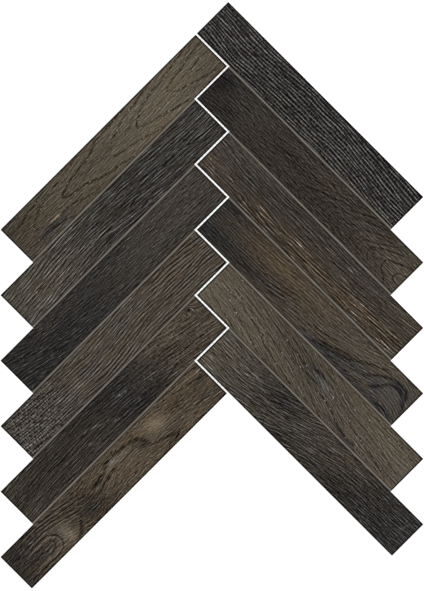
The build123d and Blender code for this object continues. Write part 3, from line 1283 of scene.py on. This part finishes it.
class Tree:
    """The node tree of a material or world; values are numbers or nodes' outputs."""

    def __init__(self, owner):
        owner.use_nodes = True
        self.nodes = owner.node_tree.nodes
        self.links = owner.node_tree.links
        self.nodes.clear()

    def add(self, kind, inputs=None, **settings):
        """A new node with its settings, and then its inputs by name."""
        node = self.nodes.new(kind)
        for name, value in settings.items():
            setattr(node, name, value)
        for name, value in (inputs or {}).items():
            self.put(node.inputs[name], value)
        return node

    def put(self, socket, value):
        """Links an output to a socket, or sets the socket to a number."""
        if isinstance(value, bpy.types.NodeSocket):
            self.links.new(value, socket)
        else:
            socket.default_value = value

    def calculated(self, kind, operation, values):
        """The output of a node that works on its first inputs in their order."""
        node = self.add(kind, operation=operation)
        for socket, value in zip(node.inputs, values):
            self.put(socket, value)
        return node.outputs[0]

    def maths(self, operation, *values):
        return self.calculated("ShaderNodeMath", operation, values)

    def vector_maths(self, operation, *values):
        return self.calculated("ShaderNodeVectorMath", operation, values)

    def split(self, vector):
        """The three numbers of a vector or colour."""
        return self.add("ShaderNodeSeparateXYZ", {"Vector": vector}).outputs

    def noise(self, vector, detail, roughness=0.5):
        """Noise from 0 to 1 that changes once or so in each whole step of the vector."""
        node = self.add(
            "ShaderNodeTexNoise",
            {"Vector": vector, "Scale": 1.0, "Detail": detail, "Roughness": roughness},
            noise_dimensions="3D",
        )
        return node.outputs["Fac"]

    def object_noise(self, fineness, detail=2.0, roughness=0.5):
        """Noise that is equally fine each way, in changes for each metre."""
        place = self.add("ShaderNodeTexCoord").outputs["Object"]
        return self.noise(self.vector_maths("MULTIPLY", place, (fineness,) * 3), detail, roughness)

    def centred(self, value):
        """A noise moved down, so that its middle is at 0."""
        return self.maths("SUBTRACT", value, 0.5)

    def ramp(self, value, low, high, to_low=0.0, to_high=1.0):
        """A smooth rise from to_low at low to to_high at high."""
        node = self.add(
            "ShaderNodeMapRange",
            {"Value": value, "From Min": low, "From Max": high, "To Min": to_low, "To Max": to_high},
            interpolation_type="SMOOTHSTEP",
        )
        return node.outputs[0]

    def mixed(self, factor, first, second):
        """Two colours mixed, also past the second one where the factor is above 1."""
        node = self.add("ShaderNodeMix", data_type="RGBA", clamp_factor=False)
        # The node's colour sockets share their names with others, so they go by number
        for number, value in ((0, factor), (6, first), (7, second)):
            self.put(node.inputs[number], value)
        return node.outputs[2]

    def surface(self, colour, roughness, specular, height, strength, distance):
        """Ends a material in one shader with a fine bump; distance is in metres."""
        bump = {"Height": height, "Strength": strength, "Distance": distance}
        shader = self.add(
            "ShaderNodeBsdfPrincipled",
            {
                "Base Color": colour,
                "Roughness": roughness,
                "Specular IOR Level": specular,
                "Normal": self.add("ShaderNodeBump", bump).outputs[0],
            },
        )
        self.add("ShaderNodeOutputMaterial", {"Surface": shader.outputs[0]})


# The porcelain's material

@dataclass
class Mark:
    """Noise of the print.

    Fineness is in changes for each millimetre along and across the grain, and then
    a stride from tile to tile. A mark with a rise grows from the first of its
    shares to the second while the noise passes through the rise.
    """
    fineness: tuple
    detail: float = 1.0
    roughness: float = 0.5
    rise: tuple = None
    shares: tuple = (0.0, 1.0)


MARKS = {
    "waver": Mark((0.11, 0.28, 13.1), detail=2.0),
    "fibres": Mark((0.085, 0.60, 7.3), detail=2.0, roughness=0.6),
    "dashes": Mark((0.20, 0.85, 2.3)),
    "hairs": Mark((0.070, 0.80, 5.1)),
    "pores": Mark((0.16, 1.1, 3.7), rise=(0.58, 0.72)),
    "grit": Mark((0.65, 0.95, 11.7)),
    "ticks": Mark((0.90, 0.22, 2.9), rise=(0.38, 0.64)),
    "streaks": Mark((0.040, 0.85, 6.7), rise=(0.54, 0.68)),
    "brush_drift": Mark((0.013, 0.035, 1.7), detail=2.0),
    "brush_hold": Mark((0.040, 0.40, 6.1), rise=(0.30, 0.60), shares=(0.45, 1.0)),
    "line_bend": Mark((0.03, 0.25, 9.1), detail=2.0),
    "line_breaks": Mark((0.15, 0.40, 4.3), detail=2.0, rise=(0.38, 0.54), shares=(0.1, 1.0)),
    "dark_dashes": Mark((0.17, 0.95, 10.3), rise=(0.40, 0.56), shares=(0.2, 1.5)),
    "light_dashes": Mark((0.28, 0.50, 12.1), rise=(0.36, 0.58), shares=(0.55, 1.0)),
}

# Strength of the marks that all tiles share, in shares of white; hairs are stronger
# where there are more fibres, and nothing gets darker than the darkest level
FIBRE_STRENGTH = 0.36
DASH_STRENGTH = 0.24
PORE_STRENGTH = -0.06
HAIR_STRENGTH = 0.12
HAIR_WITH_FIBRES = 0.6
GRIT_STRENGTH = 0.30
TICK_BASE = 0.03
DARKEST = 0.03

# How far the fibres waver across the grain, in millimetres for each unit of
# shortness above the calm one, and how far the light side of a hair lies from its
# dark side, in steps of its noise
WAVER = 3.4
CALM_SHORTNESS = 0.6
HAIR_SIDE = (0, 0.75, 0)

# Brush marks: their spacing in millimetres, how far they wander in spacings, the
# ramp from a mark's middle to its side, and their mean, which is taken off
BRUSH_SPACING = 3.45
BRUSH_DRIFT = 3.0
BRUSH_RAMP = (0.0, 0.29, 1.0, 0.0)
BRUSH_MEAN = 0.31

# Growth lines: their place in a ring, how far they bend, the ramp from a line's
# middle to its side in line widths, the shade that builds up to a line and stops
# after it, and the least and the added strength of a ring, by luck
LINE_PLACE = 0.6
LINE_BEND = 0.7
LINE_RAMP = (0.25, 1.0, 1.0, 0.0)
SHADE_END = 0.75
SHADE_STRENGTH = 0.3
RING_LEAST = 0.75
RING_LUCK = 0.5

# Light flecks: how much closer they lie along and across than their scale, which is
# in flecks for each millimetre, the ramp from a fleck's middle to its side, which
# flecks show by luck, how near a growth line has to be, and how dark a drawn line
FLECK_STRETCH = (0.60, 1.25, 1.0)
FLECK_SCALE = 0.28
FLECK_RAMP = (0.10, 0.27, 1.0, 0.0)
FLECK_LUCK = (0.35, 0.85)
FLECK_BY_LINE = (0.8, 1.8, 0.35, 0.0)
FLECK_BY_STROKE = (0.01, 0.06)

# Painted shade at the tile's edges: how the print is darkened towards a filled edge, and towards an unfilled
# one, where it goes near black
FILLED_EDGE_PAINTED_SHADE = (0.0, 1.2, 0.75, 1.0)
OPEN_EDGE_PAINTED_SHADE = (0.0, 1.5, 0.02, 1.0)

# Colour of each slot's brown print, and how much browner its dark detail is
GREY_TINT = (1.015, 1.0, 0.985, 1)
BROWN_TINTS = {
    "porcelain_charcoal": (1.085, 1.0, 0.850, 1),
    "porcelain_umber": (1.105, 1.0, 0.850, 1),
    "porcelain_walnut": (1.130, 1.0, 0.830, 1),
    "porcelain_taupe": (1.110, 1.0, 0.825, 1),
}
DETAIL_WARMTH = 3.3
DISPLAY_GAMMA = 2.2

# The darkest print is a little redder, from this level down to black
RED_BELOW = 0.25
DARK_TINT = (1.12, 1.0, 0.97, 1)
WHITE = (1, 1, 1, 1)

# The fired body and its fine speckle
BODY_DARK = (0.030, 0.026, 0.022, 1)
BODY_LIGHT = (0.062, 0.055, 0.047, 1)
SPECKLE_RISE = (0.3, 0.7)

# Where the bevel's print gives way to the bare body, and how matt the fibres are
PRINT_END = (0.35, 0.75)
ROUGHNESS_RAMP = (0.3, 0.7, 0.70, 0.86)

# How much each mark counts in the face's bump, beside the fibres
BUMP_SHARES = {"pores": -0.8, "line": -0.6, "hairs": 0.5}
SPECKLE_BUMP = 0.25


def print_numbers(tree):
    """The stored numbers of the print by name, and the place in the grain."""
    numbers = {}
    for name, parts in PRINT_PARTS.items():
        stored = tree.add("ShaderNodeAttribute", attribute_name=name).outputs["Vector"]
        numbers.update(zip(parts, tree.split(stored)))
        if name == "print_grain":
            numbers["grain"] = stored
    return numbers


def noise_mark(tree, name, place, shift=(0, 0, 0)):
    """One of the marks, at a place in the grain."""
    mark = MARKS[name]
    place = tree.vector_maths("MULTIPLY_ADD", place, mark.fineness, shift)
    value = tree.noise(place, mark.detail, mark.roughness)
    return tree.ramp(value, *mark.rise, *mark.shares) if mark.rise else value


def wavy_grain(tree, at):
    """The place in a grain whose fibres waver and are as short as the tile says."""
    waver = tree.centred(noise_mark(tree, "waver", at["grain"]))
    reach = tree.maths("MULTIPLY", tree.maths("SUBTRACT", at["shortness"], CALM_SHORTNESS), WAVER)
    across = tree.maths("MULTIPLY_ADD", waver, reach, at["level"])
    along = tree.maths("MULTIPLY", at["along"], at["shortness"])
    return tree.add("ShaderNodeCombineXYZ", {"X": along, "Y": across, "Z": at["seed"]}).outputs[0]


def brush_marks(tree, at):
    """Thin brush marks at an even spacing that wanders."""
    drift = tree.maths("MULTIPLY", noise_mark(tree, "brush_drift", at["grain"]), BRUSH_DRIFT)
    phase = tree.maths("MULTIPLY_ADD", at["level"], 1 / BRUSH_SPACING, drift)
    gap = tree.maths("ABSOLUTE", tree.centred(tree.maths("FRACT", phase)))
    mark = tree.ramp(gap, *BRUSH_RAMP)
    mark = tree.maths("MULTIPLY", mark, noise_mark(tree, "brush_hold", at["grain"]))
    return tree.maths("SUBTRACT", mark, BRUSH_MEAN)


def growth_lines(tree, at):
    """Growth lines, broken and of different strength, with a shade on one side.

    The second output is the distance from the line, in line widths.
    """
    bend = noise_mark(tree, "line_bend", at["grain"])
    place = tree.maths("MULTIPLY_ADD", bend, LINE_BEND, at["rings"])
    phase = tree.maths("FRACT", place)
    ring = tree.maths("FLOOR", place)
    luck = tree.add("ShaderNodeTexWhiteNoise", {"W": ring}, noise_dimensions="1D").outputs["Value"]
    off_line = tree.maths("ABSOLUTE", tree.maths("SUBTRACT", phase, LINE_PLACE))
    distance = tree.maths("DIVIDE", off_line, at["line_share"])
    thin_line = tree.ramp(distance, *LINE_RAMP)
    thin_line = tree.maths("MULTIPLY", thin_line, noise_mark(tree, "line_breaks", at["grain"]))
    shade = tree.maths(
        "MULTIPLY",
        tree.ramp(phase, 0.0, LINE_PLACE),
        tree.ramp(phase, SHADE_END, LINE_PLACE),
    )
    line = tree.maths("MULTIPLY_ADD", shade, SHADE_STRENGTH, thin_line)
    strength = tree.maths("MULTIPLY_ADD", luck, RING_LUCK, RING_LEAST)
    return tree.maths("MULTIPLY", line, strength), distance


def light_flecks(tree, at, wavy, line_distance):
    """Short light flecks beside the growth lines and on the dark drawn lines."""
    place = tree.vector_maths("MULTIPLY", wavy, FLECK_STRETCH)
    cells = tree.add(
        "ShaderNodeTexVoronoi",
        {"Vector": place, "Scale": FLECK_SCALE},
        voronoi_dimensions="2D",
    )
    luck = tree.split(cells.outputs["Color"])[0]
    spots = tree.ramp(cells.outputs["Distance"], *FLECK_RAMP)
    spots = tree.maths("MULTIPLY", spots, tree.ramp(luck, *FLECK_LUCK))
    by_line = tree.ramp(line_distance, *FLECK_BY_LINE)
    by_stroke = tree.ramp(at["stroke"], *FLECK_BY_STROKE)
    return tree.maths("MULTIPLY", spots, tree.maths("MAXIMUM", by_line, by_stroke))


def drawn_lines(tree, at):
    """The drawn lines, dark ones first and then light ones, each broken into dashes."""
    dark = tree.maths("MAXIMUM", at["stroke"], 0.0)
    light = tree.maths("MINIMUM", at["stroke"], 0.0)
    dark = tree.maths("MULTIPLY", dark, noise_mark(tree, "dark_dashes", at["grain"]))
    light = tree.maths("MULTIPLY", light, noise_mark(tree, "light_dashes", at["grain"]))
    return dark, light


def all_marks(tree, at):
    """Every kind of mark in the print, by name."""
    wavy = wavy_grain(tree, at)
    marks = {name: noise_mark(tree, name, wavy) for name in ("fibres", "dashes", "pores", "grit", "streaks")}
    marks["ticks"] = noise_mark(tree, "ticks", at["grain"])
    hairs = [noise_mark(tree, "hairs", wavy, shift) for shift in ((0, 0, 0), HAIR_SIDE)]
    marks["hairs"] = tree.maths("SUBTRACT", *hairs)
    marks["brush"] = brush_marks(tree, at)
    marks["line"], line_distance = growth_lines(tree, at)
    marks["flecks"] = light_flecks(tree, at, wavy, line_distance)
    marks["dark_lines"], marks["light_lines"] = drawn_lines(tree, at)
    return marks


def print_level(tree, at, marks):
    """All marks added up to a displayed grey level, from 0 to 1, then darkened towards the edges as painted
    shade.
    """
    fine = tree.maths("MULTIPLY", tree.centred(marks["fibres"]), FIBRE_STRENGTH)
    fine = tree.maths("MULTIPLY_ADD", tree.centred(marks["dashes"]), DASH_STRENGTH, fine)
    fine = tree.maths("MULTIPLY_ADD", marks["pores"], PORE_STRENGTH, fine)
    hair_share = tree.maths("MULTIPLY_ADD", at["fibre"], HAIR_WITH_FIBRES, HAIR_STRENGTH)
    tick_share = tree.maths("ADD", at["ticks"], TICK_BASE)
    added = [
        (fine, at["fibre"]),
        (marks["hairs"], hair_share),
        (tree.centred(marks["grit"]), GRIT_STRENGTH),
        (marks["brush"], at["brush"]),
        (marks["line"], tree.maths("MULTIPLY", at["line_depth"], -1.0)),
        (marks["dark_lines"], -1.0),
        (marks["light_lines"], -1.0),
        (marks["streaks"], at["streaks"]),
        (marks["flecks"], at["line_flecks"]),
        (tree.centred(marks["ticks"]), tick_share),
    ]
    level = at["tone"]
    for mark, share in added:
        level = tree.maths("MULTIPLY_ADD", mark, share, level)
    level = tree.maths("MAXIMUM", level, DARKEST)
    # Painted shade: darker towards the filled edges, and near black towards the unfilled ones
    level = tree.maths("MULTIPLY", level, tree.ramp(at["filled_gap"], *FILLED_EDGE_PAINTED_SHADE))
    return tree.maths("MULTIPLY", level, tree.ramp(at["open_gap"], *OPEN_EDGE_PAINTED_SHADE))


def print_colour(tree, slot, at, marks, level):
    """The print's colour, with dark detail browner than the ground and light greyer.

    The light drawn lines of walnut stay as brown as the ground.
    """
    detail = tree.maths("SUBTRACT", at["tone"], level)
    if slot == "porcelain_walnut":
        detail = tree.maths("SUBTRACT", detail, marks["light_lines"])
    warmth = tree.maths("MULTIPLY_ADD", detail, DETAIL_WARMTH, at["warmth"])
    tint = tree.mixed(tree.maths("MAXIMUM", warmth, 0.0), GREY_TINT, BROWN_TINTS[slot])
    darkness = tree.maths("MULTIPLY_ADD", level, -1 / RED_BELOW, 1.0)
    redness = tree.mixed(tree.maths("MAXIMUM", darkness, 0.0), WHITE, DARK_TINT)
    tint = tree.vector_maths("MULTIPLY", tint, redness)
    shown = tree.vector_maths("MULTIPLY", tint, level)
    return tree.add("ShaderNodeGamma", {"Color": shown, "Gamma": DISPLAY_GAMMA}).outputs[0]


def porcelain(slot):
    """Printed and brushed porcelain, with a bare fired body on its cut sides and back."""
    material = bpy.data.materials.new(slot)
    tree = Tree(material)
    at = print_numbers(tree)
    marks = all_marks(tree, at)
    level = print_level(tree, at, marks)
    face_colour = print_colour(tree, slot, at, marks, level)
    speckle = tree.object_noise(900, roughness=0.7)
    body_colour = tree.mixed(tree.ramp(speckle, *SPECKLE_RISE), BODY_DARK, BODY_LIGHT)
    colour = tree.mixed(tree.ramp(at["printed"], *PRINT_END), body_colour, face_colour)

    height = marks["fibres"]
    for name, share in BUMP_SHARES.items():
        height = tree.maths("MULTIPLY_ADD", marks[name], share, height)
    height = tree.maths("MULTIPLY", height, at["printed"])
    height = tree.maths("MULTIPLY_ADD", speckle, SPECKLE_BUMP, height)
    roughness = tree.ramp(marks["fibres"], *ROUGHNESS_RAMP)
    tree.surface(colour, roughness, specular=0.1, height=height, strength=0.5, distance=0.0002)
    return material


# Materials of the filler and the net

def filler_material():
    """Matt warm grey joint filler with sand grains and faint tool marks."""
    material = bpy.data.materials.new("joint_filler")
    tree = Tree(material)
    grains = tree.object_noise(2200, roughness=0.6)
    clouds = tree.object_noise(60)
    shade = tree.maths("MULTIPLY_ADD", clouds, 0.6, tree.maths("MULTIPLY", grains, 0.4))
    dark = (0.135, 0.121, 0.101, 1)
    light = (0.194, 0.174, 0.149, 1)
    colour = tree.mixed(tree.ramp(shade, 0.3, 0.7), dark, light)
    tree.surface(colour, roughness=0.85, specular=0.25, height=grains, strength=0.4, distance=0.0001)
    return material


def net_material():
    """White glass-fibre thread: bundles of filaments in a dull coating."""
    material = bpy.data.materials.new("glass_net")
    tree = Tree(material)
    filaments = tree.object_noise(3000, roughness=0.6)
    dark = (0.70, 0.70, 0.66, 1)
    light = (0.88, 0.88, 0.85, 1)
    colour = tree.mixed(filaments, dark, light)
    tree.surface(colour, roughness=0.6, specular=0.4, height=filaments, strength=0.4, distance=0.00005)
    return material


# Pieces

def add_object(name, mesh, material):
    """A new object in the scene with one material."""
    piece = bpy.data.objects.new(name, mesh)
    mesh.materials.append(material)
    bpy.context.scene.collection.objects.link(piece)
    return piece


def middle_of(node):
    """Middle of a frame node in plan, in metres."""
    low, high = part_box(node)
    return (low.x + high.x) / 2, (low.y + high.y) / 2


def leg_of(node):
    """Which leg a tile belongs to, from its name."""
    return node.split("_")[1]


def dress_tiles():
    """Every plain tile gives way to its printed one, which has a seed of its own."""
    materials = {slot: porcelain(slot) for slot in sorted({p.slot for p in PLANKS.values()})}
    for number, (node, plank) in enumerate(PLANKS.items(), start=1):
        mesh = tile_mesh(node + "_printed", plank, SEEDS_PER_TILE * number)
        piece = add_object(node + "_printed", mesh, materials[plank.slot])
        x, y = middle_of(node)
        piece.location = (x, y, NET_THICKNESS * MM)
        piece.rotation_euler = (0, 0, math.radians(HEADINGS[leg_of(node)]))
        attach(piece, "root")
        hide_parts(node)


def dress_joints():
    """The filler keeps its solids and gets its material."""
    material = filler_material()
    for name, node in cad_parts.items():
        if name.startswith("joint_"):
            node.data.materials.clear()
            node.data.materials.append(material)


# Net: thread sizes, how far a cut thread reaches past its last crossing, and how far
# the lower and the upper threads stay inside the sheet that they stand for
THREAD_PITCH = 5.0
THREAD_WIDTH = 0.8
THREAD_THICKNESS = 0.17
THREAD_TAIL = 2.0
BELOW_THREADS = 0.02
ABOVE_THREADS = 0.01
MOST_CROSSINGS = int((TILES_PER_LEG * PITCH + TILE_LENGTH + PITCH) / THREAD_PITCH) + 1


def to_plan(along_right, along_left):
    """A place in plan, in millimetres, from its distances along the two headings."""
    x = (along_right - along_left) / math.sqrt(2) + PITCH / (2 * math.sqrt(2))
    y = -(along_right + along_left) / math.sqrt(2) + SHEET_HEIGHT / 2
    return x, y


def on_sheet(along_right, along_left):
    """True where a place lies over a tile or the joint beside it."""
    half = JOINT_WIDTH / 2
    row_left = np.floor((along_left + half) / PITCH)
    row_right = np.floor((along_right + half) / PITCH)
    on_right = (row_left >= 0) & (row_left < TILES_PER_LEG)
    on_right &= (along_right >= row_left * PITCH - half)
    on_right &= (along_right < row_left * PITCH + TILE_LENGTH + half)
    on_left = (row_right >= 0) & (row_right < TILES_PER_LEG)
    on_left &= (along_left >= (row_right + 1) * PITCH - half)
    on_left &= (along_left < (row_right + 1) * PITCH + TILE_LENGTH + half)
    return on_right | on_left


def in_net(along_right, along_left):
    """True where the net reaches, which stops short of the sheet's edge."""
    setback = NET_SETBACK + JOINT_WIDTH / 2
    inside = np.ones_like(along_right, bool)
    for a in (-setback, setback):
        for b in (-setback, setback):
            inside &= on_sheet(along_right + a, along_left + b)
    return inside


def crossing(number):
    """The place of a thread's middle line, which is also a place of crossings."""
    return (number + 0.5) * THREAD_PITCH


def thread_runs(row, starts_right):
    """The stretches of one thread, as pairs of a first and a last crossing."""
    places = crossing(np.arange(MOST_CROSSINGS))
    fixed = np.full_like(places, crossing(row))
    inside = in_net(places, fixed) if starts_right else in_net(fixed, places)
    edges = np.flatnonzero(np.diff(np.concatenate([[False], inside, [False]]).astype(int)))
    runs = [(int(first), int(after) - 1) for first, after in zip(edges[::2], edges[1::2])]
    return [(first, last) for first, last in runs if last > first]


def thread_points(row, starts_right, first, last):
    """Four corners at each end and crossing of one stretch, over and under in turn."""
    low = BELOW_THREADS + THREAD_THICKNESS / 2
    high = NET_THICKNESS - THREAD_THICKNESS / 2 - ABOVE_THREADS
    stops = [crossing(first) - THREAD_TAIL]
    stops += [crossing(i) for i in range(first, last + 1)]
    stops.append(crossing(last) + THREAD_TAIL)
    points = []
    for i, along in enumerate(stops, start=first - 1):
        middle = high if (i + row + starts_right) % 2 else low
        for side, lift in ((-1, -1), (1, -1), (1, 1), (-1, 1)):
            cross = crossing(row) + side * THREAD_WIDTH / 2
            x, y = to_plan(along, cross) if starts_right else to_plan(cross, along)
            points.append((x, y, middle + lift * THREAD_THICKNESS / 2))
    return points


def thread_faces(base, count):
    """Sides and ends of a square thread of count lengths, from its first point on."""
    faces = []
    for i in range(count):
        for k in range(4):
            a = base + 4 * i + k
            b = base + 4 * i + (k + 1) % 4
            faces.append((a, b, b + 4, a + 4))
    end = base + 4 * count
    faces.append((base + 3, base + 2, base + 1, base))
    faces.append((end, end + 1, end + 2, end + 3))
    return faces


def net_mesh():
    """Two sets of flat threads that pass over and under each other."""
    points = []
    faces = []
    for starts_right in (True, False):
        for row in range(MOST_CROSSINGS):
            for first, last in thread_runs(row, starts_right):
                thread = thread_points(row, starts_right, first, last)
                faces += thread_faces(len(points), len(thread) // 4 - 1)
                points += thread
    return new_mesh("net_threads", points, faces)


def dress_net():
    """The plain sheet gives way to the net's threads."""
    piece = add_object("net_threads", net_mesh(), net_material())
    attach(piece, "root")
    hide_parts("backing_net")


# Floor, light and camera. The floor's size, the lamp's height and the range of the
# camera's view are in metres, and the camera stands a fraction of a millimetre off
# the sheet's middle, as in the photograph.
FLOOR_SIZE = 30.0
FLOOR_WHITE = (0.9, 0.9, 0.9, 1)
FLOOR_GLOW = 0.25
KEY_SHARE = 0.75
KEY_ANGLE = 3.0
KEY_HEIGHT = 3.0
FILL_SHARE = 0.25
MM_PER_PIXEL = 1.080
IMAGE_HEIGHT = 591
LENS = 1000.0
SENSOR = 36.0
CAMERA_PLACE = (0.1, -0.3)
CAMERA_RANGE = (0.1, 100.0)


def ray_is(tree, *kinds):
    """1 for rays of the given kinds, and 0 for the rest."""
    ray = tree.add("ShaderNodeLightPath").outputs
    seen = ray[kinds[0]]
    for kind in kinds[1:]:
        seen = tree.maths("MAXIMUM", seen, ray[kind])
    return seen


def add_floor():
    """A plain white floor that keeps the object's shadow."""
    half = FLOOR_SIZE / 2
    corners = [(-half, -half, 0), (half, -half, 0), (half, half, 0), (-half, half, 0)]
    mesh = bpy.data.meshes.new("floor")
    mesh.from_pydata(corners, [], [(0, 1, 2, 3)])
    material = bpy.data.materials.new("floor_white")
    tree = Tree(material)
    seen = ray_is(tree, "Is Camera Ray", "Is Glossy Ray", "Is Transmission Ray")
    shader = tree.add(
        "ShaderNodeBsdfPrincipled",
        {
            "Base Color": FLOOR_WHITE,
            "Roughness": 1.0,
            "Specular IOR Level": 0.0,
            "Emission Color": WHITE,
            "Emission Strength": tree.maths("MULTIPLY", seen, FLOOR_GLOW),
        },
    )
    tree.add("ShaderNodeOutputMaterial", {"Surface": shader.outputs[0]})
    add_object("floor", mesh, material)


def add_light():
    """A soft key straight overhead and an even fill from all round."""
    lamp = bpy.data.lights.new("key", "SUN")
    lamp.energy = KEY_SHARE * math.pi
    lamp.angle = math.radians(KEY_ANGLE)
    key = bpy.data.objects.new("key", lamp)
    key.location = (0, 0, KEY_HEIGHT)
    bpy.context.scene.collection.objects.link(key)
    world = bpy.data.worlds.new("studio")
    bpy.context.scene.world = world
    tree = Tree(world)
    seen = ray_is(tree, "Is Camera Ray", "Is Transmission Ray")
    strength = tree.ramp(seen, 0.0, 1.0, FILL_SHARE, 1.0)
    background = tree.add("ShaderNodeBackground", {"Color": WHITE, "Strength": strength})
    tree.add("ShaderNodeOutputWorld", {"Surface": background.outputs[0]})


def add_camera():
    """A long lens straight above the sheet, with the sheet filling the frame."""
    data = bpy.data.cameras.new("camera")
    data.lens = LENS
    data.sensor_width = SENSOR
    data.clip_start, data.clip_end = CAMERA_RANGE
    camera = bpy.data.objects.new("camera", data)
    bpy.context.scene.collection.objects.link(camera)
    distance = IMAGE_HEIGHT * MM_PER_PIXEL * LENS / SENSOR
    camera.location = [part * MM for part in (*CAMERA_PLACE, FACE_HEIGHT + distance)]
    bpy.context.scene.camera = camera


dress_tiles()
dress_joints()
dress_net()
add_floor()
add_light()
add_camera()

view = bpy.context.scene.view_settings
view.view_transform = "Standard"
